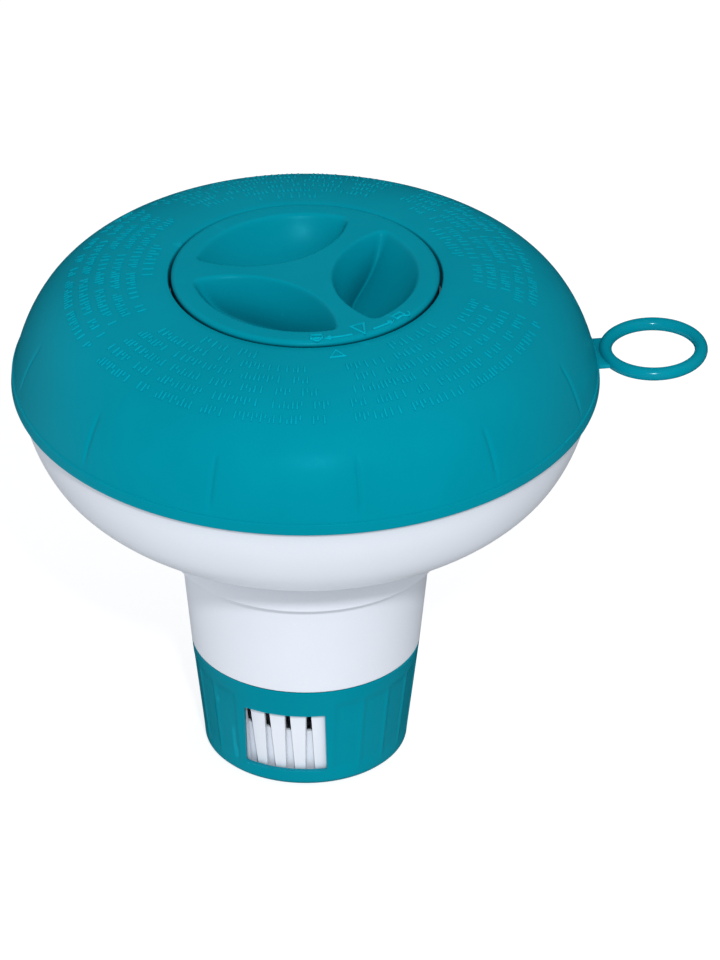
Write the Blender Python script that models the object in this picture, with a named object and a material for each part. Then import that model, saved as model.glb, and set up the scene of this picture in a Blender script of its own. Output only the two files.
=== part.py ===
"""Floating chlorine dispenser: a hollow two-part float round a tablet tube,
with a turning flow dial at the foot and a quick-thread closure on top.

Frame: origin at the centre of the flat bottom, +Z up, front towards -Y, metres.
Sizes are in millimetres, and every vertex is scaled by MM. Outlines are lists of
(radius, height), with the height taken over the parting plane inside raised()
and over the base elsewhere.
"""

import math

import bmesh
import bpy
from mathutils import Matrix, Vector

MM = 0.001

# ------------------------------------------------------------------ shared sizes (mm)
RIM_R = 165.0 / 2           # outer radius of the float
PARTING_Z = 116.7           # height of the float's parting plane over the base
WALL = 2.2                  # wall of both float halves and of the closure's top
GAP = 0.3                   # play between touching pieces
SEGS = 40                   # facets round every turned piece

# heights over the parting plane where pieces meet
WELL_LEDGE_Z = 24.0         # top of the ledge in the dome's well
TUBE_FLANGE_Z = 26.4        # underside of the tube's top flange
TUBE_FLANGE_T = 2.0
CAP_UNDER_Z = 30.8          # underside of the closure's head
CAP_R = 37.6
COLLAR_END_Z = -52.2        # lower edge of the bowl's neck collar
SEAL_GROOVE_LOW_Z = -47.9   # groove in the collar's bore
SEAL_GROOVE_TOP_Z = -45.6

# nested cones at the foot: radius = base + taper * height over the base
STEM_BASE_R = 28.85
STEM_TAPER = 0.1007
DIAL_BASE_R = 28.2
DIAL_TAPER = 0.1203
DIAL_WALL = 1.4
DIAL_FLOOR_T = 2.2
COMB_GAP = 0.35             # play between the slotted wall and the dial
COMB_WALL = 1.2             # wall between the slots
COMB_END_Z = 5.0            # lower, open ends of the slots
GROUPS = 3                  # groups of slots, and windows in the dial

# snap joint between the tube and the dial; angles in degrees from +X
SNAP_Z = 29.3               # mid height of the bead and its groove
SNAP_GROOVE_DEPTH = 0.9
STOP_FROM = 150.0
STOP_SPAN = 16.0

# quick thread, shared by the tube and the closure
THREAD_STARTS = 3
THREAD_LEAD = 24.0          # climb per turn
THREAD_SPAN = 60.0          # degrees covered by each thread
THREAD_H = 2.0
THREAD_STEPS = 8
THREAD_SINK = 0.7           # depth of the ridge's root in the wall

# ------------------------------------------------------------------ materials
TEAL = (0.0, 0.258, 0.347)
WHITE = (0.80, 0.83, 0.88)
BLACK = (0.012, 0.013, 0.015)

# material name: (base colour, roughness)
FINISHES = {
    "dome_teal": (TEAL, 0.42),
    "bowl_white": (WHITE, 0.4),
    "tube_white": (WHITE, 0.4),
    "floor_white": (WHITE, 0.45),
    "dial_teal": (TEAL, 0.42),
    "cap_teal": (TEAL, 0.4),
    "cap_seal_rubber": (BLACK, 0.6),
    "well_seal_rubber": (BLACK, 0.6),
    "neck_seal_rubber": (BLACK, 0.6),
}


def material(name):
    colour, roughness = FINISHES[name]
    mat = bpy.data.materials.new(name)
    mat.use_nodes = True
    shader = next(n for n in mat.node_tree.nodes if n.type == "BSDF_PRINCIPLED")
    shader.inputs["Base Color"].default_value = (*colour, 1.0)
    shader.inputs["Roughness"].default_value = roughness
    shader.inputs["Metallic"].default_value = 0.0
    mat.diffuse_color = (*colour, 1.0)
    return mat


# ------------------------------------------------------------------ helpers
def stem_r(z):
    """Outer radius of the tube's stem."""
    return STEM_BASE_R + STEM_TAPER * z


def dial_r(z):
    """Outer radius of the flow dial."""
    return DIAL_BASE_R + DIAL_TAPER * z


def comb_r(z):
    """Outer radius of the tube's slotted wall, inside the dial."""
    return dial_r(z) - DIAL_WALL - COMB_GAP


def front(degrees):
    """Angle about Z of a direction given in degrees from the front, towards +X."""
    return math.radians(degrees - 90.0)


def turn_to(degrees):
    """Rotation that takes +X to a direction given in degrees from the front."""
    return Matrix.Rotation(front(degrees), 4, "Z")


def mm(x, y, z):
    """Point in metres from millimetres."""
    return Vector((x * MM, y * MM, z * MM))


def raised(outline):
    """Outline over the parting plane, restated over the base."""
    return [(r, PARTING_Z + z) for r, z in outline]


def circle(centre_r, centre_z, radius, sides, turn=0.0):
    """Round section as an outline, turned by a part of one side."""
    angles = [math.tau * (i + turn) / sides for i in range(sides)]
    return [(centre_r + radius * math.cos(a), centre_z + radius * math.sin(a)) for a in angles]


def to_object(name, bm, mat=None):
    bmesh.ops.remove_doubles(bm, verts=bm.verts, dist=1e-7)
    bmesh.ops.recalc_face_normals(bm, faces=bm.faces)
    mesh = bpy.data.meshes.new(name)
    bm.to_mesh(mesh)
    bm.free()
    mesh.shade_smooth()
    mesh.set_sharp_from_angle(angle=math.radians(35))
    ob = bpy.data.objects.new(name, mesh)
    bpy.context.scene.collection.objects.link(ob)
    if mat:
        mesh.materials.append(mat)
    return ob


def turned(name, outline, mat=None):
    """Spin an outline about Z. One that starts on the axis also ends there, and stays open."""
    bm = bmesh.new()
    verts = [bm.verts.new(mm(r, 0.0, z)) for r, z in outline]
    edges = [bm.edges.new(pair) for pair in zip(verts, verts[1:])]
    if outline[0][0] > 0:
        edges.append(bm.edges.new((verts[-1], verts[0])))
    bmesh.ops.spin(bm, geom=verts + edges, cent=(0, 0, 0), axis=(0, 0, 1),
                   angle=math.tau, steps=SEGS, use_merge=True, use_duplicate=False)
    return to_object(name, bm, mat)


def add_loft(bm, rings):
    """Add a closed block through rings of points in metres, capped at both ends."""
    loops = [[bm.verts.new(point) for point in ring] for ring in rings]
    count = len(loops[0])
    for one, two in zip(loops, loops[1:]):
        for i in range(count):
            j = (i + 1) % count
            bm.faces.new((one[i], one[j], two[j], two[i]))
    bm.faces.new(loops[0][::-1])
    bm.faces.new(loops[-1])


def add_sector(bm, outlines, start, end):
    """Add a closed block swept about Z through outlines at even steps, degrees from +X."""
    rings = []
    for i, outline in enumerate(outlines):
        a = math.radians(start + (end - start) * (i / (len(outlines) - 1)))
        rings.append([mm(r * math.cos(a), r * math.sin(a), z) for r, z in outline])
    add_loft(bm, rings)


def sector(name, outline, start, end, steps):
    """Object with one outline swept through part of a turn."""
    bm = bmesh.new()
    add_sector(bm, [outline] * (steps + 1), start, end)
    return to_object(name, bm)


def threads(name, root_r, crest_r, mid_z):
    """All starts of the quick thread: ridges that climb with the angle, thinned at both ends."""
    outlines = []
    for i in range(THREAD_STEPS + 1):
        t = i / THREAD_STEPS
        z = mid_z + THREAD_LEAD * THREAD_SPAN / 360.0 * (t - 0.5)
        half = THREAD_H / 2 * min(1.0, 0.35 + 4.0 * min(t, 1.0 - t))
        crest = half * 0.55
        outline = raised([(root_r, z - half), (crest_r, z - crest),
                          (crest_r, z + crest), (root_r, z + half)])
        # a ridge that points inwards is wound the other way
        outlines.append(outline if crest_r > root_r else outline[::-1])
    bm = bmesh.new()
    for k in range(THREAD_STARTS):
        middle = 360.0 * k / THREAD_STARTS
        add_sector(bm, outlines, middle - THREAD_SPAN / 2, middle + THREAD_SPAN / 2)
    return to_object(name, bm)


def boolean(ob, other, operation):
    """Add a boolean modifier and turn the other object into a hidden helper."""
    other.hide_render = True
    other.display_type = "WIRE"
    mod = ob.modifiers.new(operation.lower(), "BOOLEAN")
    mod.operation = operation
    mod.solver = "EXACT"
    mod.object = other


def blend(p, q, knot_p, knot_q, t):
    """Straight blend from p at knot_p to q at knot_q."""
    return p * (knot_q - t) / (knot_q - knot_p) + q * (t - knot_p) / (knot_q - knot_p)


def curve(stations, samples):
    """Smooth curve through the stations (Catmull-Rom, centripetal), samples per span."""
    points = [Vector(s) for s in stations]
    points = [2 * points[0] - points[1], *points, 2 * points[-1] - points[-2]]
    out = []
    for i in range(1, len(points) - 2):
        p0, p1, p2, p3 = points[i - 1:i + 3]
        t1 = (p1 - p0).length ** 0.5
        t2 = t1 + (p2 - p1).length ** 0.5
        t3 = t2 + (p3 - p2).length ** 0.5
        for k in range(samples):
            t = t1 + (t2 - t1) * k / samples
            a1 = blend(p0, p1, 0.0, t1, t)
            a2 = blend(p1, p2, t1, t2, t)
            a3 = blend(p2, p3, t2, t3, t)
            b1 = blend(a1, a2, 0.0, t2, t)
            b2 = blend(a2, a3, t1, t3, t)
            out.append(blend(b1, b2, t1, t2, t))
    out.append(points[-2])
    return out


def offset(points, distance):
    """The curve moved sideways to the right of its direction."""
    out = []
    for i, p in enumerate(points):
        before = points[max(i - 1, 0)]
        after = points[min(i + 1, len(points) - 1)]
        along = (after - before).normalized()
        out.append(p + Vector((along.y, -along.x)) * distance)
    return out


# ------------------------------------------------------------------ dome shell
# outer surface: (radius, height over the parting plane)
DOME_STATIONS = (
    (81.8, 3.7), (80.4, 9.2), (78.1, 15.1), (74.9, 20.5), (70.3, 25.2),
    (63.8, 29.2), (55.2, 32.2), (46.5, 33.9), (40.8, 34.4),
)
RIM_BAND_H = 3.3            # plain band round the rim
WELL_R = 38.4               # well the closure drops into
WELL_LEDGE_R = 36.2         # bore of the ledge and of the guide sleeve under it
SLEEVE_R = 38.2
SLEEVE_END_Z = 9.0

RIB_COUNT = 12
RIB_T = 1.6
RIB_LOW_DEPTH = 3.15        # inward reach at the lower and upper ends
RIB_TOP_DEPTH = 3.85
RIB_TOP_DROP = 1.5          # fall of the upper edge towards the axis
RIB_LOW_Z = 4.5             # the ribs follow the dome's points between these heights
RIB_TOP_Z = 21.5
RIB_PHASE = -19.0           # angle of one rib from the front, degrees

LOOP_ANGLE = math.radians(8.0)  # from +X
LOOP_CENTRE = 98.5
LOOP_R = 13.5
LOOP_TUBE = 1.85
LOOP_SIDES = 10
LOOP_Z = 2.0                # over the parting plane
TAB_W = 15.2
TAB_Z = (1.2, 2.4)          # lower and upper face, over the parting plane
TAB_ROOT = RIM_R - 1.2
TAB_ARC_STEPS = 8


def dome_ribs(dome_outer):
    """Stiffening ribs inside the shoulder, rooted in the wall."""
    root = [p for p in offset(dome_outer, -WALL * 0.6) if RIB_LOW_Z < p.y < RIB_TOP_Z]
    low, top = root[0], root[-1]
    outline = raised([*root, (top.x - RIB_TOP_DEPTH, top.y - RIB_TOP_DROP),
                      (low.x - RIB_LOW_DEPTH, low.y)])
    bm = bmesh.new()
    for k in range(RIB_COUNT):
        turn = turn_to(RIB_PHASE + 360.0 * k / RIB_COUNT)
        add_loft(bm, [[turn @ mm(r, side * RIB_T, z) for r, z in outline]
                      for side in (-0.5, 0.5)])
    return to_object("dome_ribs", bm)


def tether_tab():
    """Flat tab from the rim to the loop, its outer end following the loop's centre line."""
    outline = []                # (distance along the loop's direction, sideways)
    for i in range(TAB_ARC_STEPS + 1):
        v = TAB_W * (i / TAB_ARC_STEPS - 0.5)
        outline.append((LOOP_CENTRE - math.sqrt(LOOP_R ** 2 - v * v), v))
    outline += [(TAB_ROOT, TAB_W / 2), (TAB_ROOT, -TAB_W / 2)]
    cos, sin = math.cos(LOOP_ANGLE), math.sin(LOOP_ANGLE)
    bm = bmesh.new()
    add_loft(bm, [[mm(u * cos - v * sin, u * sin + v * cos, PARTING_Z + z) for u, v in outline]
                  for z in TAB_Z])
    return to_object("tether_tab", bm)


def tether_loop():
    loop = turned("tether_loop", circle(LOOP_R, 0.0, LOOP_TUBE, LOOP_SIDES))
    centre = Vector((LOOP_CENTRE * math.cos(LOOP_ANGLE), LOOP_CENTRE * math.sin(LOOP_ANGLE),
                     PARTING_Z + LOOP_Z)) * MM
    loop.data.transform(Matrix.Translation(centre))
    return loop


def build_dome():
    outer = curve(DOME_STATIONS, 2)
    inner = [p for p in offset(curve(DOME_STATIONS, 1)[::-1], WALL) if p.x > WELL_R + 3.4]
    ledge_under = WELL_LEDGE_Z - WALL
    outline = raised([
        (RIM_R - 0.5, 0.0), (RIM_R, 0.5), (RIM_R - 0.3, RIM_BAND_H),
        *outer,
        (WELL_R + 0.6, 34.2), (WELL_R, 33.6), (WELL_R, WELL_LEDGE_Z),
        (WELL_LEDGE_R, WELL_LEDGE_Z), (WELL_LEDGE_R, SLEEVE_END_Z),
        (SLEEVE_R, SLEEVE_END_Z), (SLEEVE_R, ledge_under),
        (WELL_R + WALL, ledge_under), (WELL_R + WALL, 31.4),
        *inner,
        (RIM_R - WALL - 0.2, 0.0),
    ])
    dome = turned("dome_shell", outline, material("dome_teal"))
    boolean(dome, dome_ribs(outer), "UNION")
    boolean(dome, tether_tab(), "UNION")
    boolean(dome, tether_loop(), "UNION")


# ------------------------------------------------------------------ float bowl
# outer surface: (radius, depth under the parting plane)
BOWL_STATIONS = (
    (80.3, 0.4), (79.0, 7.2), (76.9, 13.4), (73.4, 20.1), (68.7, 25.5),
    (62.6, 30.4), (56.0, 34.0), (49.0, 36.9), (43.6, 38.7),
)
COLLAR_R = 39.2             # neck collar under the bowl
COLLAR_BORE_R = 36.3
COLLAR_TOP_Z = -34.0        # over the parting plane, as are the spigot's heights
SEAL_GROOVE_R = 37.9
SPIGOT_R = RIM_R - WALL - 0.9   # ring that stands up inside the dome's rim
SPIGOT_T = 1.8
SPIGOT_LOW_Z = -0.4
SPIGOT_TOP_Z = 3.6


def build_bowl():
    stations = [(r, -depth) for r, depth in BOWL_STATIONS]
    inner = [p for p in offset(curve(stations, 1)[::-1], -WALL)
             if p.x > COLLAR_R + 0.4 and p.y < -1.5]
    collar_inset = COLLAR_R - 0.6
    outline = raised([
        *curve(stations, 2),
        (40.5, -40.0), (COLLAR_R + 0.2, -41.8), (COLLAR_R, COLLAR_END_Z + 0.5),
        (COLLAR_R - 0.5, COLLAR_END_Z), (COLLAR_BORE_R + 0.2, COLLAR_END_Z),
        (COLLAR_BORE_R, COLLAR_END_Z + 1.0),
        (COLLAR_BORE_R, SEAL_GROOVE_LOW_Z), (SEAL_GROOVE_R, SEAL_GROOVE_LOW_Z),
        (SEAL_GROOVE_R, SEAL_GROOVE_TOP_Z), (COLLAR_BORE_R, SEAL_GROOVE_TOP_Z),
        (COLLAR_BORE_R, COLLAR_TOP_Z), (collar_inset, COLLAR_TOP_Z), (collar_inset, -36.8),
        *inner,
        (SPIGOT_R - SPIGOT_T, SPIGOT_LOW_Z), (SPIGOT_R - SPIGOT_T, SPIGOT_TOP_Z),
        (SPIGOT_R, SPIGOT_TOP_Z), (SPIGOT_R, SPIGOT_LOW_Z),
    ])
    turned("float_bowl", outline, material("bowl_white"))


# ------------------------------------------------------------------ tablet tube
TUBE_TOP_R = 38.0           # flange that rests over the well's ledge
TUBE_BODY_R = 35.9
TUBE_MOUTH_BORE = 34.2
TUBE_BORE = TUBE_MOUTH_BORE - 0.6
TUBE_WALL = 2.2             # at the stem's foot
STEM_SHOULDER_Z = 33.5      # height over the base of the step above the dial
NECK_Z = PARTING_Z + COLLAR_END_Z - GAP     # top of the stem
SNAP_GROOVE_HALF = 1.2
STOP_HALF = 1.6             # half the stop's height
TUBE_THREAD_Z = 20.6        # over the parting plane
TUBE_THREAD_CREST_R = 33.0

SLOT_PITCH = 11.7           # degrees
SLOTS_PER_GROUP = 4
SLOT_FIRST = -33.8          # centre of the first slot, degrees from the front
SLOT_TOP_Z = 27.0
SLOT_TOP_W = 1.35
BLADE_LOW_Z = COMB_END_Z - 2.0  # the cutting blades run out under the open ends
BLADE_LOW_W = 2.7
BLADE_LEAN = 0.66           # sideways drift of each blade's centre at its lower end
BLADE_INNER = 17.0
BLADE_OUTER = 36.0


def slot_blades():
    """Wedges, wider at the lower end, all those of a group square to the group's middle."""
    mid_slot = (SLOTS_PER_GROUP - 1) / 2
    levels = ((BLADE_LOW_Z, BLADE_LOW_W, BLADE_LEAN), (SLOT_TOP_Z, SLOT_TOP_W, 0.0))
    corners = ((BLADE_INNER, -1), (BLADE_OUTER, -1), (BLADE_OUTER, 1), (BLADE_INNER, 1))
    bm = bmesh.new()
    for group in range(GROUPS):
        turn = turn_to(SLOT_FIRST + SLOT_PITCH * mid_slot + 360.0 * group / GROUPS)
        for k in range(SLOTS_PER_GROUP):
            away = math.sin(math.radians(SLOT_PITCH * (k - mid_slot)))
            add_loft(bm, [[turn @ mm(r, comb_r(z) * away + side * width / 2 + lean, z)
                           for r, side in corners]
                          for z, width, lean in levels])
    return to_object("slot_blades", bm)


def dial_stop():
    """Stop rib across the snap groove."""
    inner, outer = comb_r(SNAP_Z) - 1.5, comb_r(SNAP_Z) - 0.05
    low, top = SNAP_Z - STOP_HALF, SNAP_Z + STOP_HALF
    return sector("dial_stop", [(inner, low), (outer, low), (outer, top), (inner, top)],
                  STOP_FROM, STOP_FROM + STOP_SPAN, 3)


def build_tube():
    flange_top = TUBE_FLANGE_Z + TUBE_FLANGE_T
    bore_foot_z = STEM_SHOULDER_Z + 4
    groove_r = comb_r(SNAP_Z) - SNAP_GROOVE_DEPTH
    groove_low, groove_top = SNAP_Z - SNAP_GROOVE_HALF, SNAP_Z + SNAP_GROOVE_HALF
    outline = [
        # flange and bore, downwards
        *raised([
            (TUBE_TOP_R, TUBE_FLANGE_Z), (TUBE_TOP_R, flange_top),
            (TUBE_MOUTH_BORE + 0.6, flange_top), (TUBE_MOUTH_BORE, flange_top - 0.6),
            (TUBE_MOUTH_BORE, 8.0), (TUBE_BORE, 6.0), (TUBE_BORE, -40.0)]),
        (stem_r(bore_foot_z) - TUBE_WALL, bore_foot_z),
        (comb_r(31.5) - TUBE_WALL, 31.5), (comb_r(27.8) - TUBE_WALL, 27.8),
        (comb_r(26.8) - COMB_WALL, 26.8), (comb_r(COMB_END_Z) - COMB_WALL, COMB_END_Z),
        # slotted wall, snap groove, stem and body, upwards
        (comb_r(COMB_END_Z), COMB_END_Z), (comb_r(groove_low), groove_low),
        (groove_r, groove_low), (groove_r, groove_top), (comb_r(groove_top), groove_top),
        (comb_r(STEM_SHOULDER_Z), STEM_SHOULDER_Z), (stem_r(STEM_SHOULDER_Z), STEM_SHOULDER_Z),
        (stem_r(NECK_Z - 0.8), NECK_Z - 0.8), (stem_r(NECK_Z), NECK_Z),
        (TUBE_BODY_R, NECK_Z + 1.2), (TUBE_BODY_R, PARTING_Z + TUBE_FLANGE_Z),
    ]
    tube = turned("tablet_tube", outline, material("tube_white"))
    boolean(tube, dial_stop(), "UNION")
    boolean(tube, threads("tube_threads", TUBE_MOUTH_BORE + THREAD_SINK,
                          TUBE_THREAD_CREST_R, TUBE_THREAD_Z), "UNION")
    boolean(tube, slot_blades(), "DIFFERENCE")


# ------------------------------------------------------------------ tube floor
FLOOR_LOW_Z = DIAL_FLOOR_T + 0.4
FLOOR_TOP_Z = 5.0
FLOOR_R = dial_r(FLOOR_LOW_Z) - DIAL_WALL - 0.6
FLOOR_RIM_Z = 18.2          # top of the rim
FLOOR_RIM_T = 1.5


def floor_rim_r(z):
    """Outer radius of the floor's rim, just behind the slotted wall."""
    return comb_r(z) - COMB_WALL - GAP - 0.05


def build_floor():
    """Plug in the slotted end: a disc, and a rim that stands just behind the slots."""
    step_z = COMB_END_Z - GAP
    outline = [
        (0, FLOOR_LOW_Z), (FLOOR_R, FLOOR_LOW_Z), (FLOOR_R, step_z),
        (floor_rim_r(COMB_END_Z), step_z), (floor_rim_r(FLOOR_RIM_Z - 0.4), FLOOR_RIM_Z - 0.4),
        (floor_rim_r(FLOOR_RIM_Z) - 0.35, FLOOR_RIM_Z),
        (floor_rim_r(FLOOR_RIM_Z) - FLOOR_RIM_T, FLOOR_RIM_Z),
        (floor_rim_r(6.5) - FLOOR_RIM_T, 6.5),
        (floor_rim_r(FLOOR_TOP_Z) - FLOOR_RIM_T - 1.2, FLOOR_TOP_Z), (0, FLOOR_TOP_Z),
    ]
    turned("tube_floor", outline, material("floor_white"))


# ------------------------------------------------------------------ flow dial
DIAL_TOP_Z = 33.2
DIAL_TRAVEL = 60.0          # degrees from open to shut
BEAD_PLAY = 2.0             # degrees left free past each end of the stop's travel
BEAD_SINK = 0.7             # depth of the bead's root in the dial's wall
BEAD_R = comb_r(SNAP_Z) - SNAP_GROOVE_DEPTH + 0.35
WINDOW_MID = -11.75         # degrees from the front
WINDOW_W = 23.2             # width of each window, square to the wall at its middle
WINDOW_LOW_Z = 5.1
WINDOW_TOP_Z = 24.9
PANE_R = 29.0               # centre and depth of the blocks that cut the windows
PANE_DEPTH = 14.0


def dial_bore(z):
    return dial_r(z) - DIAL_WALL


def snap_bead():
    """Bead in the dial's bore, open where the stop rib travels."""
    outline = [(dial_bore(SNAP_Z - 1.0) + BEAD_SINK, SNAP_Z - 0.8), (BEAD_R, SNAP_Z - 0.4),
               (BEAD_R, SNAP_Z + 0.4), (dial_bore(SNAP_Z + 1.0) + BEAD_SINK, SNAP_Z + 0.8)]
    gap_start = STOP_FROM - DIAL_TRAVEL - BEAD_PLAY
    gap_end = STOP_FROM + STOP_SPAN + BEAD_PLAY
    return sector("snap_bead", outline, gap_end, gap_start + 360.0, 40)


def window_panes():
    size = Vector((PANE_DEPTH, WINDOW_W, WINDOW_TOP_Z - WINDOW_LOW_Z)) * MM
    centre = Vector((PANE_R, 0.0, (WINDOW_TOP_Z + WINDOW_LOW_Z) / 2)) * MM
    block = Matrix.Translation(centre) @ Matrix.Diagonal((*size, 1.0))
    bm = bmesh.new()
    for group in range(GROUPS):
        turn = turn_to(WINDOW_MID + 360.0 * group / GROUPS)
        bmesh.ops.create_cube(bm, size=1.0, matrix=turn @ block)
    return to_object("window_panes", bm)


def build_dial():
    outline = [
        (0, 0.0), (26.6, 0.0), (27.5, 0.3), (28.1, 1.0), (dial_r(2.2), 2.4),
        (dial_r(DIAL_TOP_Z - 0.5), DIAL_TOP_Z - 0.5), (dial_r(DIAL_TOP_Z) - 0.4, DIAL_TOP_Z),
        (dial_bore(DIAL_TOP_Z), DIAL_TOP_Z), (dial_bore(DIAL_FLOOR_T), DIAL_FLOOR_T),
        (0, DIAL_FLOOR_T),
    ]
    dial = turned("flow_dial", outline, material("dial_teal"))
    boolean(dial, snap_bead(), "UNION")
    boolean(dial, window_panes(), "DIFFERENCE")


# ------------------------------------------------------------------ closure
CAP_TOP_Z = 35.5            # heights over the parting plane
CAP_SKIRT_R = 32.6
CAP_SKIRT_BORE = 30.8
CAP_SKIRT_END_Z = 14.0
CAP_THREAD_Z = 17.6
CAP_THREAD_CREST_R = 33.8
DISH_R = 31.5               # finger dish
DISH_DEPTH = 14.0
DISH_WALL = 1.8
DISH_STEPS = 10
POCKETS = 3
POCKET_PHASE = -3.0         # degrees from +X to the first finger pocket
POCKET_ARC_X = 35.9         # centre of the arc that shapes each pocket
POCKET_ARC_R = 28.4
POCKET_DRAFT = 0.38         # growth of the arc's radius per mm of height
CONE_ABOVE = 2.0            # height of the pocket's cone over the closure's top
CONE_BELOW = DISH_DEPTH + 4.0


def dish(name, radius, depth, lid_grow, lid_z):
    """Half an ellipse about Z, hanging from the closure's top face, with a lid by that face."""
    outline = [(0.0, CAP_TOP_Z - depth)]
    for i in range(1, DISH_STEPS + 1):
        a = math.pi / 2 * i / DISH_STEPS
        outline.append((radius * math.sin(a), CAP_TOP_Z - depth * math.cos(a)))
    outline += [(radius + lid_grow, CAP_TOP_Z + lid_z), (0.0, CAP_TOP_Z + lid_z)]
    return turned(name, raised(outline))


def pocket(k):
    """One finger pocket: the part of the dish inside a drafted cone."""
    a = math.tau * k / POCKETS + math.radians(POCKET_PHASE)
    centre = Vector((POCKET_ARC_X * math.cos(a), POCKET_ARC_X * math.sin(a),
                     PARTING_Z + CAP_TOP_Z + (CONE_ABOVE - CONE_BELOW) / 2)) * MM
    bm = bmesh.new()
    bmesh.ops.create_cone(bm, cap_ends=True, segments=48,
                          radius1=(POCKET_ARC_R - POCKET_DRAFT * CONE_BELOW) * MM,
                          radius2=(POCKET_ARC_R + POCKET_DRAFT * CONE_ABOVE) * MM,
                          depth=(CONE_ABOVE + CONE_BELOW) * MM,
                          matrix=Matrix.Translation(centre) @ Matrix.Rotation(a, 4, "Z"))
    cone = to_object(f"pocket_cone_{k}", bm)
    hollow = dish(f"pocket_{k}", DISH_R, DISH_DEPTH, lid_grow=0.0, lid_z=1.0)
    boolean(hollow, cone, "INTERSECT")
    return hollow


def build_cap():
    under = CAP_TOP_Z - WALL
    outline = raised([
        (0, under), (CAP_SKIRT_BORE, under), (CAP_SKIRT_BORE, CAP_SKIRT_END_Z),
        (CAP_SKIRT_R - 0.5, CAP_SKIRT_END_Z), (CAP_SKIRT_R, CAP_SKIRT_END_Z + 0.8),
        (CAP_SKIRT_R, CAP_UNDER_Z), (CAP_R - 0.4, CAP_UNDER_Z), (CAP_R, CAP_UNDER_Z + 0.4),
        (CAP_R, CAP_TOP_Z - 1.8), (CAP_R - 0.55, CAP_TOP_Z - 0.6), (CAP_R - 1.8, CAP_TOP_Z),
        (0, CAP_TOP_Z),
    ])
    cap = turned("screw_cap", outline, material("cap_teal"))
    belly = dish("dish_belly", DISH_R + 0.2, DISH_DEPTH + DISH_WALL, lid_grow=-1.5, lid_z=-0.6)
    boolean(cap, belly, "UNION")
    for k in range(POCKETS):
        boolean(cap, pocket(k), "DIFFERENCE")
    boolean(cap, threads("cap_threads", CAP_SKIRT_R - THREAD_SINK,
                         CAP_THREAD_CREST_R, CAP_THREAD_Z), "UNION")


# ------------------------------------------------------------------ seals
CAP_SEAL_BORE = 35.0
CAP_SEAL_R = CAP_R - 0.2
SEAL_SIDES = 6

# round seals: (name, centre radius, height over the parting plane, section radius)
ROUND_SEALS = (
    ("well_seal", 37.1, (WELL_LEDGE_Z + TUBE_FLANGE_Z) / 2, 0.8),
    ("neck_seal", 36.9, (SEAL_GROOVE_LOW_Z + SEAL_GROOVE_TOP_Z) / 2, 0.72),
)


def build_seals():
    low = TUBE_FLANGE_Z + TUBE_FLANGE_T + GAP
    top = CAP_UNDER_Z - GAP
    turned("cap_seal", raised([(CAP_SEAL_BORE, low), (CAP_SEAL_R, low),
                               (CAP_SEAL_R, top), (CAP_SEAL_BORE, top)]),
           material("cap_seal_rubber"))
    for name, centre_r, z, radius in ROUND_SEALS:
        turned(name, raised(circle(centre_r, z, radius, SEAL_SIDES, turn=0.5)),
               material(name + "_rubber"))


# ------------------------------------------------------------------ build
for old in list(bpy.data.objects):
    bpy.data.objects.remove(old, do_unlink=True)

build_dome()
build_bowl()
build_tube()
build_floor()
build_dial()
build_cap()
build_seals()
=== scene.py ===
# Floating tablet dispenser. A domed float with a tether loop sits on a white bowl. A tapered
# tablet tube hangs below it, with a slotted comb inside a turning dial, and a screw closure
# with three finger pockets fills the well in the crown.
# It stands upright on +Z with its foot at z = 0 and its front towards -Y.
# Shapes are drawn in millimetres and scaled to metres by MM as each mesh is made.
import math
import random

import bmesh
import bpy
import numpy as np
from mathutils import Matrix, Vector


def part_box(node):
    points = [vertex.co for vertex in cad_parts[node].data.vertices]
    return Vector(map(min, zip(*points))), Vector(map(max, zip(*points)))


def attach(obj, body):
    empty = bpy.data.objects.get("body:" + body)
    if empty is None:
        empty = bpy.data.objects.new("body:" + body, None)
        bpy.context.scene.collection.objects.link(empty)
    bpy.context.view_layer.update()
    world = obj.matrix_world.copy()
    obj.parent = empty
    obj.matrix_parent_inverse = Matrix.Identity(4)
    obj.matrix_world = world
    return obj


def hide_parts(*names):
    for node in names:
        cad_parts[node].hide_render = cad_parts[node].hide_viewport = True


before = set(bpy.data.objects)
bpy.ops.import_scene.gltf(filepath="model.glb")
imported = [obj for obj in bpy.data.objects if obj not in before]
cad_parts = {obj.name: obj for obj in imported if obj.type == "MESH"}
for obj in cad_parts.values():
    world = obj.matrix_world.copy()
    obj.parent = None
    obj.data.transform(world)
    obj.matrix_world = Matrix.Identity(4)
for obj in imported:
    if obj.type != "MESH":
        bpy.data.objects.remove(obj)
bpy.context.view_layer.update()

MM = 0.001
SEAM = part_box("dome_shell")[0].z / MM       # height of the plane where dome and bowl part
FLOAT_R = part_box("dome_shell")[1].y / MM    # outer radius of the float
WALL = 2.2                                  # wall of the dome and the bowl
CREASE = 38.0                               # edges sharper than this many degrees stay hard
UP = Vector((0, 0, 1))


def segments(full):
    return full


# ------------------------------------------------------------------ places
def front(deg):
    """Angle about Z, in radians, of a bearing in degrees from the front (-Y) towards +X."""
    return math.radians(deg - 90.0)


def polar(angle, r, z):
    return Vector((r * math.cos(angle), r * math.sin(angle), z))


def place(angle, out, across, z):
    """Point a distance out along an angle and across it (counter-clockwise from above)."""
    outward = Vector((math.cos(angle), math.sin(angle), 0))
    side = Vector((-math.sin(angle), math.cos(angle), 0))
    return outward * out + side * across + Vector((0, 0, z))


def lift(points):
    """(r, z) tuples of points drawn from the parting plane."""
    return [(p.x, SEAM + p.y) for p in points]


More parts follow.
